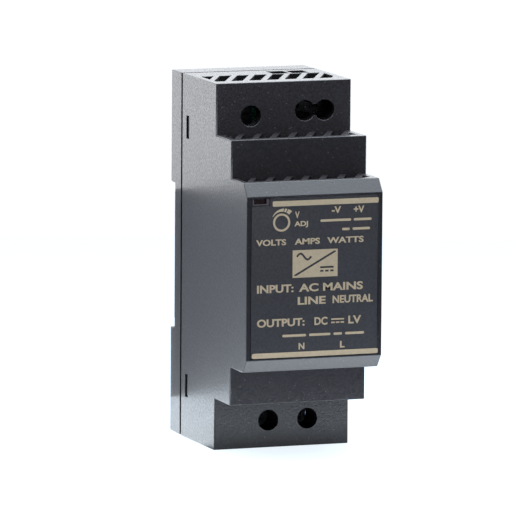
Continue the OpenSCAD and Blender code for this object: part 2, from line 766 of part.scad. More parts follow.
module line_capacitor() in_frame() color([0.85, 0.78, 0.30]) {
    on_board(line_capacitor_at) centred_block(13, 5.8, 0.4, 12.4);
    on_board(line_capacitor_at) centred_block(11.8, 4.6, 12.3, 12.7);
    leads(line_capacitor_leads, 0.35, 0.5);
}

choke_r = 5.4;
choke_hole_r = 2.7;
choke_z = [1.6, 6.2];

module line_choke_core() in_frame() color(ferrite_grey)
    on_board(line_choke_at) translate([0, 0, choke_z[0]])
        difference() {
            cylinder(r = choke_r, h = choke_z[1] - choke_z[0], $fn = fine);
            translate([0, 0, -cut]) cylinder(r = choke_hole_r, h = choke_z[1] + 1, $fn = fine);
        }

// One turn of wire round the core's section: a square frame with a clearance of play
module choke_turn(play, wire) {
    inner = [choke_r - choke_hole_r + 2 * play, choke_z[1] - choke_z[0] + 2 * play];
    translate([choke_hole_r - play, 0, choke_z[0] - play])
        rotate([90, 0, 0]) linear_extrude(wire, center = true)
            difference() {
                translate([-wire, -wire]) square([inner[0] + 2 * wire, inner[1] + 2 * wire]);
                square(inner);
            }
}

module line_choke_windings() in_frame() color(copper) {
    wire = 0.55;
    on_board(line_choke_at)
        for (side = [0, 180], k = [-3 : 3])
            rotate([0, 0, side + k * 16]) choke_turn(0.03, wire);
    leads(line_choke_leads, 0.3, 0.6);
}

module bridge_rectifier() in_frame() color(chip_black) {
    on_board(bridge_at) centred_block(8.2, 5, 0.5, 3.6);
    leads(bridge_leads, 0.35, 0.6);
}

// An electrolytic can: sleeve, crimp groove near the board and scored top
module can(at, points, r, height) {
    on_board(at) {
        translate([0, 0, 0.4]) cylinder(r = r - 0.15, h = 1, $fn = fine);
        translate([0, 0, 1.3]) cylinder(r = r - 0.45, h = 1.2, $fn = fine);
        difference() {
            translate([0, 0, 2.4]) cylinder(r = r, h = height - 2.4, $fn = fine);
            translate([0, 0, height - 0.3]) cylinder(r = r - 0.8, h = 1, $fn = fine);
        }
    }
    leads(points, 0.3, 0.5);
}

module bulk_capacitor_left() in_frame() color(chip_black)
    can(bulk_left_at, bulk_left_leads, 6.2, 30);
module bulk_capacitor_right() in_frame() color(chip_black)
    can(bulk_right_at, bulk_right_leads, 6.2, 30);
module supply_capacitor() in_frame() color(can_blue)
    can(supply_capacitor_at, supply_capacitor_leads, 2.5, 11);
module output_capacitor_left() in_frame() color(can_blue)
    can(output_left_at, output_left_leads, 4, 16);
module output_capacitor_right() in_frame() color(can_blue)
    can(output_right_at, output_right_leads, 4, 16);

// Transistor package on its pad and sink. From the sink outwards: plate, pad, tab, body
sink_t = 1.5;
pad_t = 0.3;
tab_t = 1.3;
package_w = 10;
package_t = 4.5;
tab_hole_z = 26.2;               // height of the fixing screw above the board
fixing_r = 1.5;
fixing_play = 0.05;

// Face of a sink that its pad lies on, as a height in the case
function sink_face(at) = at.y + sink_t / 2;

module fixing_hole(x, from_z, length, r) {
    translate([x, -board_front_d - tab_hole_z, from_z]) cylinder(r = r, h = length);
}

module power_package(at, sink_at, points) {
    face = sink_face(sink_at) + pad_t;
    xs = [at.x - package_w / 2, at.x + package_w / 2];
    difference() {
        union() {
            block(xs, [board_front_d + 14, board_front_d + 29.4], [face, face + tab_t]);
            block(xs, [board_front_d + 13, board_front_d + 22.4], [face, face + package_t]);
        }
        fixing_hole(at.x, face - cut, tab_t + 1, fixing_r + fixing_play);
    }
    for (p = points)
        block([p.x - 0.4, p.x + 0.4], [board_front_d, board_front_d + 13.1], [p.y - 0.3, p.y + 0.3]);
}

module heatsink(at, width, height, package_x) {
    fin_d = [board_front_d + height - sink_t, board_front_d + height];
    difference() {
        union() {
            block([at.x - width / 2, at.x + width / 2], [board_front_d + 1, fin_d[1]],
                  [at.y - sink_t / 2, at.y + sink_t / 2]);
            block([at.x - width / 2, at.x + width / 2], fin_d,
                  [at.y - sink_t / 2 - 5, at.y + sink_t / 2]);
        }
        fixing_hole(package_x, at.y - sink_t, 2 * sink_t, fixing_r + fixing_play);
    }
    for (side = [-1, 1])
        block([at.x + side * (width / 2 - 1.5) - 0.7, at.x + side * (width / 2 - 1.5) + 0.7],
              [board_front_d, board_front_d + 1.1], [at.y - sink_t / 2, at.y + sink_t / 2]);
}

module thermal_pad(at, sink_at) {
    difference() {
        block([at.x - 5.2, at.x + 5.2], [board_front_d + 12.5, board_front_d + 29.8],
              [sink_face(sink_at), sink_face(sink_at) + pad_t]);
        fixing_hole(at.x, sink_face(sink_at) - cut, 1, fixing_r + fixing_play);
    }
}

module fixing_screw(at, sink_at) {
    top = sink_face(sink_at) + pad_t + tab_t;
    difference() {
        union() {
            fixing_hole(at.x, top - 5.7, 5.8, fixing_r);
            fixing_hole(at.x, top, 2, 2.8);
        }
        translate([at.x - 3, -board_front_d - tab_hole_z - 0.35, top + 1.2]) cube([6, 0.7, 1]);
    }
}

module fixing_nut(at, sink_at) {
    back = sink_at.y - sink_t / 2;
    difference() {
        translate([at.x, -board_front_d - tab_hole_z, back - 2.4])
            cylinder(r = 3.15, h = 2.4, $fn = 6);
        fixing_hole(at.x, back - 3, 4, fixing_r + fixing_play);
    }
}

module switching_transistor() in_frame() color(chip_black)
    power_package(transistor_at, primary_sink_at, transistor_leads);
module output_rectifier() in_frame() color(chip_black)
    power_package(rectifier_at, output_sink_at, rectifier_leads);
module primary_heatsink() in_frame() color(steel)
    heatsink(primary_sink_at, 14.2, 39, transistor_at.x);
module output_heatsink() in_frame() color(steel)
    heatsink(output_sink_at, 15.4, 39, rectifier_at.x);
module thermal_pads() in_frame() color([0.62, 0.70, 0.74]) {
    thermal_pad(transistor_at, primary_sink_at);
    thermal_pad(rectifier_at, output_sink_at);
}
module heatsink_screws() in_frame() color(steel) {
    fixing_screw(transistor_at, primary_sink_at);
    fixing_screw(rectifier_at, output_sink_at);
}
module heatsink_nuts() in_frame() color(steel) {
    fixing_nut(transistor_at, primary_sink_at);
    fixing_nut(rectifier_at, output_sink_at);
}

module snubber_resistor() in_frame() color([0.70, 0.60, 0.45]) {
    on_board(snubber_resistor_at) translate([0, 0, 2]) rotate([0, 90, 0]) {
        cylinder(r = 1.3, h = 7, center = true);
        for (side = [-1, 1])
            translate([0, 0, side * 2.9]) cylinder(r = 1.55, h = 1.4, center = true);
    }
    leads(snubber_resistor_leads, 0.3, 1);
}

module snubber_capacitor() in_frame() color([0.60, 0.20, 0.15]) {
    on_board(snubber_capacitor_at) centred_block(7.2, 2.6, 0.4, 6.5);
    leads(snubber_capacitor_leads, 0.3, 0.5);
}

module optocoupler() in_frame() color([0.88, 0.87, 0.82]) {
    on_board(optocoupler_at) {
        centred_block(4.6, 4.4, 0.5, 4);
        translate([-1.5, 1.4, 3.9]) cylinder(r = 0.4, h = 0.25, $fn = 16);
    }
    leads(optocoupler_leads, 0.3, 0.6);
}

// ---- Transformer: core of two E halves, bobbin, winding and tape ---------------------------------

core_w = 20;
core_t = 6;
core_z = [4, 30];
leg_w = 5.6;
window_half = 7;                 // outer edge of the core's windows from its middle
yoke = 3;
flange_t = 0.9;
tube_half = [3.6, 3.8];          // half width and half thickness of the bobbin's tube
winding_half = [6.5, 8.2];
tape_grow = 0.25;
winding_z = [core_z[0] + yoke + flange_t + 0.1, core_z[1] - yoke - flange_t - 0.1];

module rounded_bar(half, z0, z1, r) {
    translate([0, 0, z0]) linear_extrude(z1 - z0) {
        square([2 * half[0], 2 * (half[1] - r)], center = true);
        square([2 * (half[0] - r), 2 * half[1]], center = true);
        for (sx = [-1, 1], sy = [-1, 1])
            translate([sx * (half[0] - r), sy * (half[1] - r)]) circle(r = r);
    }
}

module transformer_core() in_frame() color(ferrite_grey)
    on_board(transformer_at)
        difference() {
            centred_block(core_w, core_t, core_z[0], core_z[1]);
            for (side = [-1, 1])
                translate([side * (leg_w / 2 + window_half) / 2, 0, 0])
                    centred_block(window_half - leg_w / 2, core_t + 1,
                                  core_z[0] + yoke, core_z[1] - yoke);
        }

module transformer_bobbin() in_frame() color([0.12, 0.12, 0.13]) {
    on_board(transformer_at)
        difference() {
            union() {
                rounded_bar(tube_half, winding_z[0] - flange_t, winding_z[1] + flange_t, 0.5);
                rounded_bar([6.8, 9.2], winding_z[0] - flange_t, winding_z[0], 0.6);
                rounded_bar([6.8, 9.2], winding_z[1], winding_z[1] + flange_t, 0.6);
                for (side = [-1, 1])
                    translate([0, side * transformer_row, 0])
                        centred_block(15, 3.2, 1, winding_z[0]);
            }
            centred_block(leg_w + 0.1, core_t + 0.1, 0, core_z[1] + 1);
        }
    leads(transformer_leads, 0.35, 1.1);
}

module transformer_winding() in_frame() color(copper)
    on_board(transformer_at)
        difference() {
            rounded_bar(winding_half, winding_z[0], winding_z[1], 1.6);
            rounded_bar(tube_half, winding_z[0] - 1, winding_z[1] + 1, 0.5);
        }

module transformer_tape() in_frame() color(tape_yellow)
    on_board(transformer_at)
        difference() {
            rounded_bar(winding_half + [tape_grow, tape_grow],
                        winding_z[0] + 1, winding_z[1] - 1, 1.6 + tape_grow);
            rounded_bar(winding_half, winding_z[0], winding_z[1], 1.6);
        }

// ---- Output choke -------------------------------------------------------------------------------

drum_r = 3.9;
drum_waist_r = 2;
drum_flange = 1.2;
drum_z = [0.6, 11];

module output_choke_core() in_frame() color(ferrite_grey)
    on_board(output_choke_at) {
        translate([0, 0, drum_z[0]]) cylinder(r = drum_r, h = drum_flange, $fn = fine);
        translate([0, 0, drum_z[0]]) cylinder(r = drum_waist_r, h = drum_z[1] - drum_z[0]);
        translate([0, 0, drum_z[1] - drum_flange]) cylinder(r = drum_r, h = drum_flange, $fn = fine);
    }

module output_choke_winding() in_frame() color(copper) {
    z0 = drum_z[0] + drum_flange;
    length = drum_z[1] - drum_flange - z0;
    on_board(output_choke_at) translate([0, 0, z0])
        difference() {
            cylinder(r = drum_r - 0.4, h = length, $fn = fine);
            translate([0, 0, -cut]) cylinder(r = drum_waist_r, h = length + 1);
        }
    leads(output_choke_leads, 0.3, 0.6);
}

// ---- Assembly -----------------------------------------------------------------------------------

front_housing();
rear_cover();
front_label();
light_pipe();
rail_latch();
latch_spring();
main_board();
insulation_sheet();
solder_joints();
board_chips();
output_terminal_body();
input_terminal_body();
positive_screw();
negative_screw();
line_screw();
neutral_screw();
positive_clamp();
negative_clamp();
line_clamp();
neutral_clamp();
positive_contact();
negative_contact();
line_contact();
neutral_contact();
feedback_board();
feedback_chips();
feedback_header();
trimmer_body();
trimmer_rotor();
indicator_led();
fuse();
surge_varistor();
inrush_thermistor();
line_capacitor();
line_choke_core();
line_choke_windings();
bridge_rectifier();
bulk_capacitor_left();
bulk_capacitor_right();
switching_transistor();
primary_heatsink();
controller_chip();
supply_capacitor();
snubber_resistor();
snubber_capacitor();
safety_capacitor();
optocoupler();
transformer_core();
transformer_bobbin();
transformer_winding();
transformer_tape();
output_rectifier();
output_heatsink();
heatsink_screws();
heatsink_nuts();
thermal_pads();
output_choke_core();
output_choke_winding();
output_capacitor_left();
output_capacitor_right();
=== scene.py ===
import json
import math

import bmesh
import bpy
from mathutils import Matrix, Vector
from mathutils.bvhtree import BVHTree


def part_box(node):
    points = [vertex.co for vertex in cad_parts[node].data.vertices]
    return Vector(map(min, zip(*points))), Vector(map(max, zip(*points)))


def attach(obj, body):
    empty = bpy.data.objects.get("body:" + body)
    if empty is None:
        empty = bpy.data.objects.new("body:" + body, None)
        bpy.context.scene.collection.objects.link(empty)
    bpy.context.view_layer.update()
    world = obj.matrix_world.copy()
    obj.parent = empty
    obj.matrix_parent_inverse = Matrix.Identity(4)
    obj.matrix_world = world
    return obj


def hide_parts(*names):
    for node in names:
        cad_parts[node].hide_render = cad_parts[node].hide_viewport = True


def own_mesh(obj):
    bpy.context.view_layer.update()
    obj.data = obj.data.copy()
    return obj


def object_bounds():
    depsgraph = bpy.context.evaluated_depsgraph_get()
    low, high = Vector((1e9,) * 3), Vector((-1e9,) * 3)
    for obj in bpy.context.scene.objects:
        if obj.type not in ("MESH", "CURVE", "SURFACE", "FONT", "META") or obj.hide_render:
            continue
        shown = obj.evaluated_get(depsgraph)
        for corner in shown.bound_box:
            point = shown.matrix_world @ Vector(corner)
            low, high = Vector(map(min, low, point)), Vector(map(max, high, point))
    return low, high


# A two-module DIN rail power supply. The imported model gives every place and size: the case
# shells, latch, spring, label, indicator and screws are made again here with rounded edges,
# threads and print, and every other part keeps its shape and gets its material.

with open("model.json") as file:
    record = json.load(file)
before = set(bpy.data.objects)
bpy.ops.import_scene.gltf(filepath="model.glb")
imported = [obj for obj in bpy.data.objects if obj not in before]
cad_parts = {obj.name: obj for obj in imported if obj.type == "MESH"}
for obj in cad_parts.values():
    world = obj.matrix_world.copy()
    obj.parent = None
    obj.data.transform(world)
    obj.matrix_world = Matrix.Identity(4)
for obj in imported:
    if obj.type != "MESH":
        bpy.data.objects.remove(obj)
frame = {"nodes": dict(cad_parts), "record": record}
nodes = frame["nodes"]
cad_lo, cad_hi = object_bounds()

MM = 0.001
SPECK_SPACING = 1.5              # mm between specks of dust on the plastic
INSIDE_REACH = 12.0              # mm; a wall that faces another one within this is inside an opening and gets painted shade
CLEAR = 0.02                     # mm; how far off a surface a ray starts
SAME_PLACE = 0.01                # mm; points nearer than this count as being in one plane
WELD = 0.001                     # mm; vertices nearer than this become one
WAVE_PERIOD = 0.314              # distance between two bands of the wave texture at scale 1
BODY_OF = {n: b for b, members in frame["record"]["behaviour"]["bodies"].items() for n in members}


def at(x, depth, height):
    """A point given as on a drawing: x, depth in front of the back plane, height above the base, in mm."""
    return Vector((x * MM, cad_hi.y - depth * MM, cad_lo.z + height * MM))


def depth_of(y):
    return (cad_hi.y - y) / MM


def height_of(z):
    return (z - cad_lo.z) / MM


# ---- Materials -------------------------------------------------------------------------------

class Graph:
    """Builds a node tree. An input may be a number, a colour or another node's output."""

    def __init__(self, tree):
        self.tree = tree

    def feed(self, socket, value):
        if isinstance(value, bpy.types.NodeSocket):
            self.tree.links.new(value, socket)
        else:
            socket.default_value = value

    def fill(self, made, inputs):
        for key, value in inputs.items():
            self.feed(made.inputs[key.replace("_", " ")], value)
        return made

    def node(self, kind, **inputs):
        return self.fill(self.tree.nodes.new(kind), inputs)

    def ramp(self, value, low, high, at_low=0.3, at_high=0.7):
        """Goes from low to high while value goes from at_low to at_high, and no further."""
        made = self.node("ShaderNodeMapRange", Value=value, From_Min=at_low, From_Max=at_high,
                         To_Min=low, To_Max=high)
        return made.outputs["Result"]

    def maths(self, operation, *values):
        made = self.node("ShaderNodeMath")
        made.operation = operation
        for socket, value in zip(made.inputs, values):
            self.feed(socket, value)
        return made.outputs[0]

    def product(self, first, *others):
        for other in others:
            first = self.maths("MULTIPLY", first, other)
        return first

    def seen(self):
        """1 for what the camera sees, 0 for what only lights or is reflected."""
        return self.node("ShaderNodeLightPath").outputs["Is Camera Ray"]


class Shader(Graph):
    """Builds one material: object coordinates, textures, and the Principled shader at its end."""

    def __init__(self, name):
        self.material = bpy.data.materials.new(name)
        self.material.use_nodes = True
        super().__init__(self.material.node_tree)
        self.surface = self.tree.nodes["Principled BSDF"]
        self.coordinates = self.node("ShaderNodeTexCoord").outputs["Object"]

    def stretched(self, scale):
        return self.node("ShaderNodeMapping", Vector=self.coordinates, Scale=scale).outputs["Vector"]

    def noise(self, size, detail=2.0, vector=None):
        """Noise whose blotches are about that many mm across."""
        made = self.node("ShaderNodeTexNoise", Vector=vector or self.coordinates, Scale=1 / (size * MM),
                         Detail=detail)
        return made.outputs["Fac"]

    def blend(self, factor, colour_a, colour_b):
        made = self.node("ShaderNodeMix")
        made.data_type = "RGBA"
        factor_in, colour_a_in, colour_b_in = (made.inputs[i] for i in (0, 6, 7))
        self.feed(factor_in, factor)
        self.feed(colour_a_in, colour_a)
        self.feed(colour_b_in, colour_b)
        return made.outputs[2]

    def bump(self, height, depth):
        """Turns a height from 0 to 1 into relief that many mm deep."""
        made = self.node("ShaderNodeBump", Height=height, Strength=1.0, Distance=depth * MM)
        self.set(Normal=made.outputs["Normal"])

    def set(self, **inputs):
        self.fill(self.surface, inputs)


def rgb(colour, factor=1.0):
    return (*(min(c * factor, 1.0) for c in colour), 1.0)


def moulded(name, colour, rough=(0.36, 0.5), grain=0.25, relief=0.012, mottle=0.12, dusty=False):
    """Moulded plastic: a spark-eroded grain over faint mottling; dust lies on it as sparse pale specks."""
    s = Shader(name)
    fine = s.noise(grain, 3.0)
    broad = s.noise(14.0, 2.0)
    tone = s.blend(s.ramp(broad, 0.0, 1.0), rgb(colour, 1 - mottle), rgb(colour, 1 + mottle))
    tone = s.blend(s.ramp(fine, 0.0, 0.5, 0.35, 0.65), tone, rgb(colour, 1.8))
    if dusty:
        cells = s.node("ShaderNodeTexVoronoi", Vector=s.coordinates, Scale=1 / (SPECK_SPACING * MM))
        speck = s.ramp(cells.outputs["Distance"], 0.75, 0.0, 0.06, 0.13)
        tone = s.blend(speck, tone, rgb(colour, 6.0))
    s.set(Base_Color=tone, Roughness=s.ramp(fine, rough[0], rough[1], 0.4, 0.6))
    s.bump(fine, relief)
    return s.material


def painted_shade_plastic(name, colour):
    """The plastic inside vents and holes, smooth from the mould's pins, with painted shade: the case colour
    darkened to a fifth, where hardly any light gets.
    """
    s = Shader(name)
    draw = s.noise(0.8, 3.0, s.stretched((1.0, 0.2, 1.0)))
    # painted shade: the case colour at 0.15 to 0.25 of its tone
    s.set(Base_Color=s.blend(draw, rgb(colour, 0.15), rgb(colour, 0.25)))
    s.set(Roughness=s.ramp(draw, 0.6, 0.75), Specular_IOR_Level=0.12)
    s.bump(draw, 0.01)
    return s.material


def coated(name, colour, second, size, rough=(0.2, 0.35), relief=0.01, coat=0.0):
    """A coat, film, ceramic or laminate: two close colours in blotches, a little uneven."""
    s = Shader(name)
    pattern = s.noise(size, 4.0)
    s.set(Base_Color=s.blend(s.ramp(pattern, 0.0, 1.0), rgb(colour), rgb(second)))
    s.set(Roughness=s.ramp(pattern, rough[0], rough[1]), Coat_Weight=coat)
    s.bump(pattern, relief)
    return s.material


def metal(name, colour, rough, size, streak=(1, 1, 1), relief=0.004):
    """Plated, drawn or rolled metal: streaks along the way that it was worked."""
    s = Shader(name)
    grain = s.noise(size, 5.0, s.stretched(streak))
    stain = s.noise(4.0, 2.0)
    tone = s.blend(s.ramp(stain, 0.0, 1.0), rgb(colour, 0.86), rgb(colour, 1.05))
    s.set(Base_Color=s.blend(s.ramp(grain, 0.0, 0.5), tone, rgb(colour, 0.7)), Metallic=1.0)
    s.set(Roughness=s.ramp(grain, rough[0], rough[1]))
    s.bump(grain, relief)
    return s.material


def wound(name, colour, pitch, along):
    """Enamelled wire laid turn by turn: ridges across the given axis, with painted shade darkening the
    grooves between the turns.
    """
    s = Shader(name)
    wave = s.node("ShaderNodeTexWave", Vector=s.coordinates, Scale=1 / (pitch * MM) * WAVE_PERIOD,
                  Distortion=0.4)
    wave.bands_direction = along
    wave.wave_profile = "SIN"
    turns = wave.outputs["Fac"]
    tint = s.noise(2.5)
    tone = s.blend(s.ramp(tint, 0.0, 1.0), rgb(colour), rgb(colour, 1.35))
    # painted shade: the grooves between turns at a quarter of the wire's colour
    s.set(Base_Color=s.blend(turns, rgb(colour, 0.25), tone), Metallic=0.9)
    s.set(Roughness=s.ramp(tint, 0.25, 0.4))
    s.bump(turns, pitch * 0.3)
    return s.material


def circuit_board(name, resist, track):
    """Solder resist over tracks: wide polygons of copper show as a lighter tone with raised edges."""
    s = Shader(name)
    cells = s.node("ShaderNodeTexVoronoi", Vector=s.stretched((1.0, 0.0, 1.0)), Scale=260.0)
    cells.feature = "DISTANCE_TO_EDGE"
    copper = s.ramp(cells.outputs["Distance"], 0.0, 1.0, 0.05, 0.07)
    weave = s.noise(0.3, 2.0, s.stretched((1.0, 4.0, 1.0)))
    tone = s.blend(copper, rgb(resist), rgb(track))
    s.set(Base_Color=s.blend(s.ramp(weave, 0.0, 0.3), tone, rgb(resist, 0.6)))
    s.set(Roughness=s.ramp(weave, 0.22, 0.36))
    s.bump(copper, 0.03)
    return s.material


def sleeved_can(name, sleeve, second, end, node):
    """A can in a shrunk sleeve of two close colours, with a bare metal end that faces forward."""
    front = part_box(node)[0].y
    s = Shader(name)
    y = s.node("ShaderNodeSeparateXYZ", Vector=s.coordinates).outputs["Y"]
    bare = s.maths("LESS_THAN", y, front + 0.25 * MM)
    dents = s.noise(1.2, 3.0)
    cover = s.blend(s.ramp(dents, 0.0, 1.0), rgb(sleeve), rgb(second))
    s.set(Base_Color=s.blend(bare, cover, rgb(end)), Metallic=bare)
    s.set(Roughness=s.ramp(dents, 0.18, 0.34))
    s.bump(dents, 0.03)
    return s.material


def window_red():
    """The tinted light pipe: deep red, glossy, a little uneven."""
    s = Shader("window_red")
    cloud = s.noise(1.5)
    s.set(Base_Color=s.blend(s.ramp(cloud, 0.0, 1.0), (0.03, 0.004, 0.006, 1), (0.06, 0.008, 0.01, 1)))
    s.set(Roughness=s.ramp(cloud, 0.12, 0.2), Coat_Weight=0.6)
    s.bump(cloud, 0.01)
    return s.material


CASE = (0.0192, 0.0162, 0.0182)
materials = {
    "housing": moulded("housing_plastic", CASE, (0.29, 0.4), 0.55, 0.06, dusty=True),
    # painted shade for the walls inside vents and holes
    "inside": painted_shade_plastic("inside_plastic_painted_shade", CASE),
    "cover": moulded("cover_plastic", CASE, (0.29, 0.4), 0.55, 0.06, dusty=True),
    "label": moulded("label_film", (0.048, 0.043, 0.046), (0.42, 0.52), 0.6, 0.02, 0.05),
    "latch": moulded("latch_plastic", (0.025, 0.0225, 0.0245), (0.32, 0.42), 0.3, 0.008),
    "terminal": moulded("terminal_plastic", (0.016, 0.017, 0.019), (0.3, 0.42), 0.3, 0.008),
    # partly painted shade: a blue trimmer body, made darker than its own colour so it stays black deep in
    # its hole
    "trimmer": moulded("trimmer_plastic", (0.006, 0.010, 0.028), (0.3, 0.4), 0.3, 0.006),
    # partly painted shade: dark plastic, made near black so the rotor stays dark deep in its hole
    "rotor": moulded("rotor_plastic", (0.018, 0.018, 0.02), (0.4, 0.5), 0.2, 0.006),
    "chip": moulded("chip_epoxy", (0.018, 0.018, 0.02), (0.4, 0.55), 0.12, 0.008),
    "optocoupler": moulded("optocoupler_epoxy", (0.62, 0.6, 0.55), (0.4, 0.55), 0.12, 0.008),
    "fuse": moulded("fuse_plastic", (0.035, 0.022, 0.016), (0.22, 0.32), 0.3, 0.006),
    "film_capacitor": moulded("film_capacitor_plastic", (0.7, 0.52, 0.06), (0.2, 0.32), 0.4, 0.006),
    "bobbin": moulded("bobbin_plastic", (0.02, 0.021, 0.023), (0.3, 0.42), 0.3, 0.006),
    # partly painted shade: a green board, made darker than real resist so it stays black deep inside the
    # case
    "board": circuit_board("board_laminate", (0.004, 0.028, 0.013), (0.009, 0.055, 0.024)),
    "film": coated("insulation_film", (0.7, 0.68, 0.58), (0.62, 0.6, 0.5), 3.0, (0.25, 0.4)),
    "disc": coated("disc_coat", (0.014, 0.06, 0.22), (0.022, 0.08, 0.27), 0.8, relief=0.04, coat=0.3),
    "thermistor": coated("thermistor_coat", (0.02, 0.05, 0.03), (0.035, 0.075, 0.045), 0.8, relief=0.04),
    "snubber": coated("snubber_coat", (0.36, 0.06, 0.035), (0.45, 0.09, 0.05), 0.8, relief=0.04, coat=0.4),
    "ferrite": coated("ferrite_core", (0.045, 0.045, 0.048), (0.075, 0.073, 0.072), 0.25, (0.5, 0.7), 0.02),
    "tape": coated("tape_film", (0.78, 0.6, 0.08), (0.86, 0.68, 0.14), 2.0, (0.25, 0.4), 0.02, 0.2),
    "resistor": coated("resistor_coat", (0.5, 0.36, 0.2), (0.58, 0.44, 0.27), 0.5, relief=0.02, coat=0.3),
    "pad": coated("thermal_pad", (0.5, 0.52, 0.55), (0.6, 0.61, 0.63), 0.4, (0.5, 0.65), 0.01),
    "led": coated("led_lens", (0.3, 0.62, 0.2), (0.38, 0.7, 0.28), 2.0, (0.08, 0.14), 0.0, 0.5),
    "spring_steel": metal("spring_wire", (0.62, 0.62, 0.64), (0.2, 0.34), 0.2, (1, 1, 0.2)),
    "solder": metal("solder_tin", (0.7, 0.7, 0.7), (0.15, 0.3), 0.5),
    # partly painted shade: dark zinc plating, made darker still so the screws stay dark deep in their holes
    "screw": metal("screw_zinc", (0.3, 0.3, 0.32), (0.24, 0.38), 0.3),
    "clamp": metal("clamp_nickel", (0.6, 0.57, 0.51), (0.22, 0.36), 0.3, (1, 0.2, 1)),
    "contact": metal("contact_tin", (0.78, 0.73, 0.64), (0.25, 0.4), 0.3, (0.2, 1, 1)),
    "heatsink": metal("heatsink_aluminium", (0.45, 0.46, 0.48), (0.34, 0.5), 0.3, (0.1, 1, 1)),
    "fixing": metal("fixing_zinc", (0.5, 0.51, 0.53), (0.3, 0.42), 0.3, relief=0.001),
    "winding": wound("winding_copper", (0.62, 0.25, 0.09), 0.5, "Z"),
    "can": sleeved_can("can_sleeve", (0.02, 0.02, 0.023), (0.035, 0.035, 0.04), (0.8, 0.8, 0.8),
                       "bulk_capacitor_left"),
    "small_can": sleeved_can("small_can_sleeve", (0.02, 0.035, 0.14), (0.03, 0.05, 0.19), (0.8, 0.8, 0.8),
                             "output_capacitor_left"),
    "window": window_red(),
    "ink": coated("label_ink", (0.70, 0.53, 0.35), (0.63, 0.475, 0.31), 0.5, (0.45, 0.6), 0.004),
    "rim": moulded("indicator_rim_plastic", (0.10, 0.075, 0.08), (0.3, 0.42), 0.25, 0.006),
}


def dress(obj, key):
    """Gives obj one material; an empty list isn't cleared, since that resets which face takes which."""
    if obj.data.materials:
        obj.data.materials.clear()
    obj.data.materials.append(materials[key])


# ---- Mesh helpers ------------------------------------------------------------------------------

def add_object(name, data):
    obj = bpy.data.objects.new(name, data)
    bpy.context.scene.collection.objects.link(obj)
    return obj


def finish_mesh(bm, name, smooth_angle=35):
    """Makes an object of the bmesh, smooth where faces meet at less than that angle."""
    limit = math.radians(smooth_angle)
    for face in bm.faces:
        face.smooth = True
    for edge in bm.edges:
        edge.smooth = len(edge.link_faces) == 2 and edge.calc_face_angle() < limit
    mesh = bpy.data.meshes.new(name)
    bm.to_mesh(mesh)
    bm.free()
    return add_object(name, mesh)


def clean_copy(node):
    """The node's shape as a closed mesh without the triangulation of its flat faces."""
    bm = bmesh.new()
    bm.from_mesh(nodes[node].data)
    bmesh.ops.remove_doubles(bm, verts=bm.verts, dist=WELD * MM)
    bmesh.ops.dissolve_limit(bm, angle_limit=math.radians(0.5), verts=bm.verts, edges=bm.edges)
    return bm


def open_edges(bm):
    """Sharp convex edges that can be seen from outside: a ray leaving them meets nothing."""
    tree = BVHTree.FromBMesh(bm)
    limit = math.radians(30)
    found = []
    for edge in bm.edges:
        if len(edge.link_faces) != 2 or edge.calc_face_angle_signed() < limit:
            continue
        outward = (edge.link_faces[0].normal + edge.link_faces[1].normal).normalized()
        middle = (edge.verts[0].co + edge.verts[1].co) / 2
        if tree.ray_cast(middle + outward * CLEAR * MM, outward)[0] is None:
            found.append(edge)
    return found


def rounded(name, bm, width, weight_of=None, segments=3):
    """Rounds the open edges by width in mm, times each edge's own weight."""
    layer = bm.edges.layers.float.new("bevel_weight_edge")
    for edge in open_edges(bm):
        edge[layer] = weight_of(edge) if weight_of else 1.0
    obj = finish_mesh(bm, name)
    bevel = obj.modifiers.new("rounding", "BEVEL")
    bevel.limit_method = "WEIGHT"
    bevel.width = width * MM
    bevel.segments = segments
    bevel.use_clamp_overlap = False
    flat = obj.modifiers.new("flat_faces", "WEIGHTED_NORMAL")
    flat.keep_sharp = True
    return obj


def mark_inside(bm):
    """Faces that look at another wall close by, as in vents and holes, take the second material, which is
    painted shade.
    """
    tree = BVHTree.FromBMesh(bm)
    for face in bm.faces:
        out = face.normal
        middles = (face.calc_center_median(), face.calc_center_bounds())
        walls = [tree.ray_cast(c + out * CLEAR * MM, out, INSIDE_REACH * MM)[0] for c in middles]
        face.material_index = 1 if all(walls) else 0


def swept(bm, centres, axes, section):
    """A tube through the centres; axes gives two directions at each, and section points lie in them."""
    rings = [[bm.verts.new(c + u * p[0] + v * p[1]) for p in section] for c, (u, v) in zip(centres, axes)]
    count = len(section)
    for lower, upper in zip(rings, rings[1:]):
        for k in range(count):
            bm.faces.new((lower[k], lower[(k + 1) % count], upper[(k + 1) % count], upper[k]))
    bm.faces.new(rings[0][::-1])
    bm.faces.new(rings[-1])


def to_piece(curve, name, depth):
    """A flat curve or text, drawn in mm, stands upright with its middle at that depth, as a mesh."""
    holder = add_object(name, curve)
    bpy.context.view_layer.update()
    mesh = bpy.data.meshes.new_from_object(holder.evaluated_get(bpy.context.evaluated_depsgraph_get()))
    bpy.data.objects.remove(holder)
    bm = bmesh.new()
    bm.from_mesh(mesh)
    bpy.data.meshes.remove(mesh)
    bmesh.ops.remove_doubles(bm, verts=bm.verts, dist=WELD / 2)
    for vert in bm.verts:
        vert.co = at(vert.co.x, depth + vert.co.z, vert.co.y)
    bmesh.ops.recalc_face_normals(bm, faces=bm.faces)
    return bm


def flat_shape(loops, depth, thickness, edge=0.0):
    """Closed loops filled, with inner loops as holes, and given a thickness."""
    curve = bpy.data.curves.new("outline", "CURVE")
    curve.dimensions, curve.fill_mode = "2D", "BOTH"
    curve.extrude, curve.bevel_depth, curve.bevel_resolution = thickness / 2 - edge, edge, 1
    curve.offset = -edge
    for loop in loops:
        spline = curve.splines.new("POLY")
        spline.points.add(len(loop) - 1)
        for point, (x, z) in zip(spline.points, loop):
            point.co = (x, z, 0, 1)
        spline.use_cyclic_u = True
    return to_piece(curve, "outline", depth)


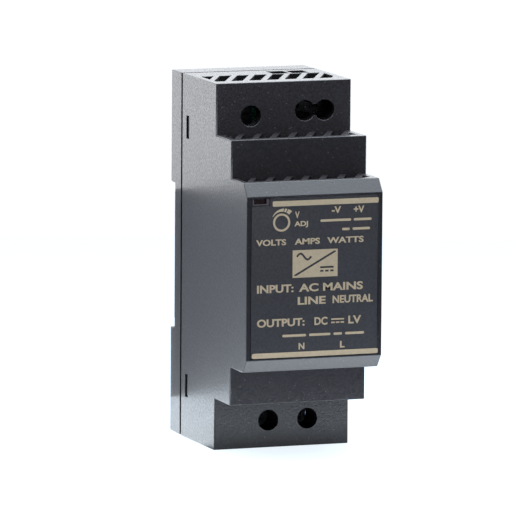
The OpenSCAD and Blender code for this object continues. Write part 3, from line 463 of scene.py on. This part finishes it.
def on_circle(x, z, r, degrees):
    return x + r * math.cos(math.radians(degrees)), z + r * math.sin(math.radians(degrees))


def arc(x, z, r, start, end, steps=32):
    return [on_circle(x, z, r, start + (end - start) * i / steps) for i in range(steps + 1)]


def circle(x, z, r):
    return arc(x, z, r, 0, 360)[:-1]


def round_rect(x0, x1, z0, z1, r, steps=5):
    corners = ((x1 - r, z1 - r, 0), (x0 + r, z1 - r, 90), (x0 + r, z0 + r, 180), (x1 - r, z0 + r, 270))
    return [point for x, z, start in corners for point in arc(x, z, r, start, start + 90, steps)]


def bar(x0, x1, z0, z1):
    return [(x0, z0), (x1, z0), (x1, z1), (x0, z1)]


def joined(parts, name):
    whole = bmesh.new()
    for bm in parts:
        mesh = bpy.data.meshes.new("part")
        bm.to_mesh(mesh)
        bm.free()
        whole.from_mesh(mesh)
        bpy.data.meshes.remove(mesh)
    return finish_mesh(whole, name)


# ---- Housing, cover and latch --------------------------------------------------------------------

SLOT_OF = {n: o.data.materials[0].name for n, o in nodes.items()}


def place_piece(obj, body, slot, key=None):
    """Puts a piece on a body and in a slot, in the slot's own material unless another key is given."""
    dress(obj, key or slot)
    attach(obj, body)
    return obj


def stand_in(obj, node):
    """obj stands for the CAD node, on its body and with its finish."""
    place_piece(obj, BODY_OF[node], SLOT_OF[node])
    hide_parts(node)
    return obj


half_width = cad_hi.x / MM
seam = depth_of(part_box("front_housing")[1].y)
CASE_ROUNDING = 0.3              # mm; the sizes below are in mm too
LATCH_ROUNDING = 0.25
LENS_ROUNDING = 0.08
SEAM_GAP = 0.42                  # each shell stops this short of the seam: a shadow line
LIP_INSETS = (0.55, 1.35)        # from the outside to the two faces of the cover's lip in that line
LIP_ROOT = 0.2                   # how far the lip reaches into the cover
SLIT_SPAN = (2.5, 6.0)           # an edge on the side shorter than this, in depth and height, is a slit's


def outline_weight(edge):
    """Full rounding along the case's outline, half on vents, holes and the seam."""
    a, b = (v.co for v in edge.verts)
    run = (b - a) / MM
    on_side = all(abs(abs(v.x) / MM - half_width) < SAME_PLACE for v in (a, b))
    across = abs(run.x) > 0.9 * 2 * half_width
    at_seam = all(abs(depth_of(v.y) - seam) < SEAM_GAP + SAME_PLACE for v in (a, b))
    in_slit = on_side and abs(run.y) < SLIT_SPAN[0] and abs(run.z) < SLIT_SPAN[1]
    return 0.5 if at_seam or in_slit or not (on_side or across) else 1.0


def add_seam_lip(bm):
    """A thin lip on the cover, inside the walls, closes the shadow line to light; it takes the inside
    material, painted shade.
    """
    rings = []
    for depth in (seam - SEAM_GAP - LIP_ROOT, seam + SEAM_GAP):
        for inset in LIP_INSETS:
            x, low, high = half_width - inset, inset, height_of(cad_hi.z) - inset
            corners = ((-x, low), (x, low), (x, high), (-x, high))
            rings.append([bm.verts.new(at(cx, depth, cz)) for cx, cz in corners])
    back_out, back_in, front_out, front_in = rings
    faces = []
    for a, b in ((back_out, front_out), (front_out, front_in), (front_in, back_in), (back_in, back_out)):
        faces += [bm.faces.new((a[k], a[(k + 1) % 4], b[(k + 1) % 4], b[k])) for k in range(4)]
    bmesh.ops.recalc_face_normals(bm, faces=faces)
    for face in faces:
        face.material_index = 1


def make_shell(node, name, seam_shift, lip=False):
    """Half of the case, its seam face moved back by seam_shift mm."""
    bm = clean_copy(node)
    for vert in bm.verts:
        if abs(depth_of(vert.co.y) - seam) < SAME_PLACE:
            vert.co.y += seam_shift * MM
    mark_inside(bm)
    if lip:
        add_seam_lip(bm)
    shell = stand_in(rounded(name, bm, CASE_ROUNDING, outline_weight), node)
    # the second material is painted shade for faces inside openings
    shell.data.materials.append(materials["inside"])


def make_latch():
    stand_in(rounded("latch_slider", clean_copy("rail_latch"), LATCH_ROUNDING), "rail_latch")


def make_spring():
    """A coil for the latch; its turns lie a little closer together at both ends."""
    lo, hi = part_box("latch_spring")
    axis_x, axis_y = (lo.x + hi.x) / 2, (lo.y + hi.y) / 2
    wire, turns, steps = 0.2 * MM, 8, 28
    radius, length = (hi.x - lo.x) / 2 - wire, hi.z - lo.z
    section = arc(0, 0, wire, 0, 360, 12)[:-1]
    centres, axes = [], []
    for i in range(turns * steps + 1):
        share, angle = i / (turns * steps), math.tau * i / steps
        rise = wire + (length - 2 * wire) * (share - math.sin(math.tau * share) / 14)
        out = Vector((math.cos(angle), math.sin(angle), 0))
        centres.append(Vector((axis_x, axis_y, lo.z + rise)) + out * radius)
        axes.append((out, Vector((0, 0, 1))))
    bm = bmesh.new()
    swept(bm, centres, axes, section)
    bmesh.ops.recalc_face_normals(bm, faces=bm.faces)
    spring = stand_in(finish_mesh(bm, "latch_coil", 60), "latch_spring")
    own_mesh(spring)


# ---- Label and its print ---------------------------------------------------------------------------

label_lo, label_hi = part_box("front_label")
label_front = depth_of(label_lo.y)
INK = 0.05                       # mm; how thick the print is
BOLD = 0.03                      # how far letters are thickened, as a share of their height
PRINT_DEPTH = label_front + INK / 2
WINDOW_HOLE = (-16.12, -11.58, 62.6, 64.42)     # x from and to, then height from and to, in mm
RIM_OUTSIDE = (-16.0, -11.7, 62.75, 64.55)
RIM_INSIDE = (-15.62, -12.4, 63.08, 64.4)
RIM_DEPTH, RIM_THICKNESS = 53.85, 0.9


def lettering(text, x0, x1, z0, z1):
    """Text in the built-in typeface, fitted into a box in mm."""
    curve = bpy.data.curves.new("letters", "FONT")
    curve.body, curve.size, curve.extrude = text, z1 - z0, INK / 2
    curve.offset, curve.resolution_u = BOLD * (z1 - z0), 4
    bm = to_piece(curve, "letters", 0)
    across = [v.co.x for v in bm.verts]
    up = [v.co.z for v in bm.verts]
    left, right, foot, head = min(across), max(across), min(up), max(up)
    corner = at(x0, PRINT_DEPTH, z0)
    for vert in bm.verts:
        vert.co.x = corner.x + (vert.co.x - left) / (right - left) * (x1 - x0) * MM
        vert.co.y += corner.y - cad_hi.y
        vert.co.z = corner.z + (vert.co.z - foot) / (head - foot) * (z1 - z0) * MM
    return bm


def printed(loops):
    return flat_shape(loops, PRINT_DEPTH, INK)


def make_label():
    """The printed film on the front, with a hole for the indicator."""
    outer = round_rect(label_lo.x / MM, label_hi.x / MM, height_of(label_lo.z), height_of(label_hi.z), 0.25)
    hole = round_rect(*WINDOW_HOLE, 0.1)
    thickness = (label_hi.y - label_lo.y) / MM
    plate = flat_shape([outer, hole], label_front - thickness / 2, thickness, 0.04)
    stand_in(finish_mesh(plate, "label_plate"), "front_label")


def ink_piece(parts, name):
    place_piece(joined(parts, name), "case", "label", "ink")


def make_strips():
    """The light bars along the label's top and near its foot."""
    ink_piece([printed([round_rect(-10.9, 16.4, 62.4, 63.7, 0.3)]),
               printed([round_rect(-16.0, 16.55, 25.6, 26.85, 0.45)])], "label_strips")


def make_dial_mark():
    """A ring for the adjuster and a widening arc in three pieces that points clockwise."""
    x, z = -8.59, 58.49
    first, last = 149, 45            # degrees, from the thin end to the wide one
    inner, thin_end, wide_end, steps = 2.65, 0.08, 1.13, 16
    pieces = [printed([circle(x, z, 2.2), circle(x, z, 1.7)])]
    for start, end in ((first, 80), (76, 66), (62, last)):
        outer = []
        for i in range(steps + 1):
            angle = start + (end - start) * i / steps
            reach = inner + thin_end + (wide_end - thin_end) * (first - angle) / (first - last)
            outer.append(on_circle(x, z, reach, angle))
        pieces.append(printed([outer + arc(x, z, inner, end, start, steps)]))
    ink_piece(pieces, "label_dial_mark")


def wave_loop(x0, x1, z, height, line):
    """One full wave drawn with a thick line."""
    upper, lower, steps = [], [], 24
    for i in range(steps + 1):
        share = i / steps
        x, mid = x0 + (x1 - x0) * share, z + height / 2 * math.sin(math.tau * share)
        slope = math.atan2(height / 2 * math.tau / (x1 - x0) * math.cos(math.tau * share), 1)
        dx, dz = -math.sin(slope) * line / 2, math.cos(slope) * line / 2
        upper.append((x + dx, mid + dz))
        lower.append((x - dx, mid - dz))
    return upper + lower[::-1]


def dc_mark(x, dash, gap, lower, upper, line):
    """Direct current as on a meter: a solid line at the upper height and three dashes at the lower."""
    dashes = [bar(x + (dash + gap) * i, x + (dash + gap) * i + dash, lower, lower + line) for i in range(3)]
    return [bar(x, x + 3 * dash + 2 * gap, upper, upper + line)] + dashes


def make_converter_symbol():
    """The drawing-office symbol of a converter: a box cut by a diagonal, a wave above, dc bars below."""
    x0, x1, z0, z1 = -5.7, 5.9, 44.9, 51.6
    margin, line = 0.45, 0.5
    left, right, low, high = x0 + margin, x1 - margin, z0 + margin, z1 - margin
    slope = math.atan2(high - low, right - left)
    dx, dz = line / math.sin(slope) / 2, line / math.cos(slope) / 2
    diagonal = [(left + dx, low), (right, high - dz), (right, high), (right - dx, high), (left, low + dz),
                (left, low)]
    plate = [bar(x0, x1, z0, z1), diagonal, wave_loop(-4.6, -0.9, 50.0, 1.5, line)]
    plate += dc_mark(1.4, 0.9, 0.4, 46.1, 47.0, 0.45)
    ink_piece([printed(plate)], "label_converter_symbol")


def make_lettering():
    """Generic legends only, in rows: heights from and to, then each text with its x from and to."""
    rows = [(60.24, 61.9, (("-V", 4.3, 6.7),)),
            (60.15, 61.85, (("+V", 9.95, 12.7),)),
            (59.4, 61.0, (("V", -5.15, -4.0),)),
            (57.05, 58.65, (("ADJ", -5.3, -1.8),)),
            (52.95, 54.45, (("VOLTS", -15.1, -7.4), ("AMPS", -5.2, 1.3), ("WATTS", 3.2, 12.6))),
            (41.43, 43.4, (("INPUT:", -14.8, -5.4), ("AC MAINS", -4.0, 12.5))),
            (38.3, 40.2, (("LINE", -4.3, 2.9), ("NEUTRAL", 4.7, 15.1))),
            (33.15, 35.1, (("OUTPUT:", -14.75, -2.5), ("DC", 0.05, 3.4), ("LV", 8.8, 12.1))),
            (27.4, 29.0, (("N", -3.98, -2.5), ("L", 6.7, 7.9)))]
    parts = [lettering(text, x0, x1, z0, z1) for z0, z1, words in rows for text, x0, x1 in words]
    parts += [printed([loop]) for loop in dc_mark(4.4, 0.9, 0.3, 33.45, 34.25, 0.35)]
    ink_piece(parts, "label_lettering")


def make_small_print():
    """Small print that says nothing: rows of short bars as long as words, each with x from and to."""
    height, corner = 0.6, 0.25
    rows = [(58.25, ((1.4, 9.3), (10.0, 14.6))),
            (56.0, ((7.0, 9.0), (9.7, 14.2))),
            (30.55, ((-8.2, -2.1), (-1.3, 4.2), (5.0, 7.2), (8.0, 12.9)))]
    words = [(x0, x1, z, z + height) for z, spans in rows for x0, x1 in spans]
    ink_piece([printed([round_rect(*word, corner, 2)]) for word in words], "label_small_print")


def make_indicator():
    """The light pipe ends in the label's window, behind a rim a little paler than the case."""
    stand_in(rounded("indicator_lens", clean_copy("light_pipe"), LENS_ROUNDING), "light_pipe")
    loops = [round_rect(*RIM_OUTSIDE, 0.15), round_rect(*RIM_INSIDE, 0.1)]
    rim = finish_mesh(flat_shape(loops, RIM_DEPTH, RIM_THICKNESS, 0.05), "indicator_rim")
    place_piece(rim, "case", "window", "rim")


# ---- Terminal screws ---------------------------------------------------------------------------------

PITCH = 0.45                     # mm, as all sizes here
HEAD_LENGTH = 1.7
CORE_RADIUS, CREST_RADIUS = 0.97, 1.25
SCREW_ROUNDING = 0.1


def turn_down_shank(bm, axis_x, axis_z, head_back):
    """Brings the shank behind the head from the thread's outer radius to that of its core."""
    for vert in bm.verts:
        out = Vector((vert.co.x - axis_x, 0, vert.co.z - axis_z))
        if vert.co.y > head_back - SAME_PLACE * MM and out.length < (CREST_RADIUS + 0.05) * MM:
            vert.co -= out * (1 - CORE_RADIUS / CREST_RADIUS)


def wind_thread(bm, axis_x, axis_z, start_y, length):
    """A ridge wound from start_y towards the head; its root lies a little inside the core."""
    steps = 20
    centres, axes = [], []
    for i in range(int(length / (PITCH * MM) * steps) + 1):
        angle = math.tau * i / steps
        centres.append(Vector((axis_x, start_y - PITCH * MM * i / steps, axis_z)))
        axes.append((Vector((math.cos(angle), 0, math.sin(angle))), Vector((0, 1, 0))))
    root, root_half, crest_half = 0.96 * CORE_RADIUS, 0.42 * PITCH, 0.07 * PITCH
    ridge = [(root, -root_half), (CREST_RADIUS, -crest_half), (CREST_RADIUS, crest_half), (root, root_half)]
    swept(bm, centres, axes, [(u * MM, v * MM) for u, v in ridge])


def head_weight(edge):
    """Rounds the head and leaves the thread's short edges alone."""
    return 1.0 if edge.calc_length() > 0.25 * MM else 0.0


def make_screw(pole):
    """The CAD screw with its shank turned down to the core and a thread wound on it."""
    node = pole + "_screw"
    lo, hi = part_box(node)
    axis_x, axis_z = (lo.x + hi.x) / 2, (lo.z + hi.z) / 2
    bm = clean_copy(node)
    head_back = min(v.co.y for v in bm.verts) + HEAD_LENGTH * MM
    turn_down_shank(bm, axis_x, axis_z, head_back)
    tip_gap = 0.35 * PITCH * MM
    wind_thread(bm, axis_x, axis_z, hi.y - tip_gap, hi.y - head_back - 2 * tip_gap)
    bmesh.ops.recalc_face_normals(bm, faces=bm.faces)
    stand_in(rounded(node + "_threaded", bm, SCREW_ROUNDING, head_weight, 2), node)


make_shell("front_housing", "housing_shell", -SEAM_GAP)
make_shell("rear_cover", "cover_shell", SEAM_GAP, lip=True)
make_latch()
make_spring()
make_label()
make_strips()
make_dial_mark()
make_converter_symbol()
make_lettering()
make_small_print()
make_indicator()
for pole in ("positive", "negative", "line", "neutral"):
    make_screw(pole)

for name, obj in nodes.items():
    if not obj.hide_render:
        dress(obj, SLOT_OF[name])


# ---- Stage, light and camera -------------------------------------------------------------------

TABLE_RADIUS = 360               # mm
TABLE_GAP = 0.05                 # mm between the object and the table
GLOW = 3.6                       # brightness of the light table beside the object
TABLE_SEEN = 0.95                # brightness of the table and of the sky to the camera
SKY_SEEN = 1.06


def make_floor():
    """A pale table that looks plain to the camera and to all else glows under and behind the object."""
    bm = bmesh.new()
    bmesh.ops.create_circle(bm, cap_ends=True, segments=64, radius=TABLE_RADIUS * MM)
    obj = finish_mesh(bm, "studio_floor")
    obj.location.z = cad_lo.z - TABLE_GAP * MM
    s = Shader("floor_paint")
    tone = s.ramp(s.noise(300.0), 0.0, 1.0)
    s.set(Base_Color=s.blend(tone, (0.21, 0.26, 0.33, 1), (0.22, 0.275, 0.345, 1)))
    s.set(Roughness=0.9, Specular_IOR_Level=0.1)
    glow = s.product(glow_near(s), glow_across(s))
    strength = s.ramp(s.seen(), glow, TABLE_SEEN, 0.0, 1.0)
    s.set(Emission_Color=(0.87, 0.95, 1, 1), Emission_Strength=strength)
    obj.data.materials.append(s.material)


def glow_near(s):
    """The table is bright close to the object and less so towards its rim."""
    spread = s.node("ShaderNodeVectorMath", Vector=s.coordinates)
    spread.operation = "LENGTH"
    return s.ramp(spread.outputs["Value"], low=GLOW, high=1.12, at_low=60 * MM, at_high=220 * MM)


def glow_across(s):
    """From the front: nearly dark, bright up to the front face, then dimmer, and least under the step."""
    front, step = cad_lo.y, cad_lo.y + 16.8 * MM
    y = s.node("ShaderNodeSeparateXYZ", Vector=s.coordinates).outputs["Y"]
    from_step = s.maths("ABSOLUTE", s.maths("SUBTRACT", y, step))
    before = s.ramp(y, low=0.03, high=1.45, at_low=front - 19.7 * MM, at_high=front - 8.2 * MM)
    under = s.ramp(y, low=1.0, high=0.72, at_low=front - 4.2 * MM, at_high=front + 5.8 * MM)
    off_step = s.ramp(from_step, low=0.18, high=1.0, at_low=10 * MM, at_high=15.5 * MM)
    return s.product(before, under, off_step)


def make_world():
    """White surroundings behind the object and dark ones behind the camera."""
    world = bpy.data.worlds.new("studio")
    bpy.context.scene.world = world
    world.use_nodes = True
    g = Graph(world.node_tree)
    direction = g.node("ShaderNodeTexCoord").outputs["Generated"]
    split = g.node("ShaderNodeSeparateXYZ", Vector=direction)
    behind = g.ramp(split.outputs["Y"], low=0.10, high=2.4, at_low=0.0, at_high=0.8)
    lower_down = g.ramp(split.outputs["Z"], low=1.3, high=0.7, at_low=-0.1, at_high=0.5)
    strength = g.ramp(g.seen(), g.product(behind, lower_down), SKY_SEEN, 0.0, 1.0)
    g.fill(g.tree.nodes["Background"], {"Color": (0.95, 0.975, 1, 1), "Strength": strength})


def make_flag():
    """A grey card behind the left side keeps the middle of that side from going white."""
    gap, width, low, high = 0.3 * MM, 282.2 * MM, -36 * MM, 16 * MM
    right, y = cad_lo.x - gap, cad_hi.y + gap
    left = right - width
    corners = ((left, y, low), (right, y, low), (right, y, high), (left, y, high))
    bm = bmesh.new()
    bm.faces.new([bm.verts.new(c) for c in corners])
    obj = finish_mesh(bm, "grey_flag")
    s = Shader("flag_paint")
    tone = s.ramp(s.noise(40.0), 0.0, 1.0)
    s.set(Base_Color=s.blend(tone, (0.66, 0.66, 0.66, 1), (0.72, 0.72, 0.72, 1)), Roughness=0.9)
    obj.data.materials.append(s.material)
    obj.visible_camera = False


def make_softbox():
    """One large soft light above."""
    place, target = Vector((0, -20, 120)) * MM, Vector((0, -20, 0)) * MM
    light = bpy.data.lights.new("softbox_top", "AREA")
    light.shape = "RECTANGLE"
    light.size, light.size_y = 0.3, 0.22
    light.energy = 0.93
    light.color = (0.80, 0.91, 1.0)
    obj = add_object("softbox_top", light)
    obj.location = place
    obj.rotation_mode = "QUATERNION"
    obj.rotation_quaternion = (target - place).to_track_quat("-Z", "Y")
    obj.visible_camera = False


def make_camera():
    """A long lens from a little to the left and above, level but for a slight roll."""
    azimuth, elevation, roll = (math.radians(a) for a in (-20.29, 7.84, 0.396))
    distance, aside, raised = 1.8, -4.38 * MM, 1.07 * MM
    back = Vector((math.sin(azimuth) * math.cos(elevation), -math.cos(azimuth) * math.cos(elevation),
                   math.sin(elevation)))
    level_right = Vector((0, 0, 1)).cross(back).normalized()
    level_up = back.cross(level_right)
    right = level_right * math.cos(roll) + level_up * math.sin(roll)
    up = level_up * math.cos(roll) - level_right * math.sin(roll)
    place = (cad_lo + cad_hi) / 2 + right * aside + up * raised + back * distance
    camera = bpy.data.cameras.new("camera")
    camera.lens, camera.sensor_width = 514.2, 36.0
    camera.clip_start, camera.clip_end = 0.1, 20.0
    obj = add_object("camera", camera)
    obj.matrix_world = Matrix.Translation(place) @ Matrix((right, up, back)).transposed().to_4x4()
    bpy.context.scene.camera = obj


make_floor()
make_world()
make_flag()
make_camera()
make_softbox()
bpy.context.scene.view_settings.view_transform = "Standard"
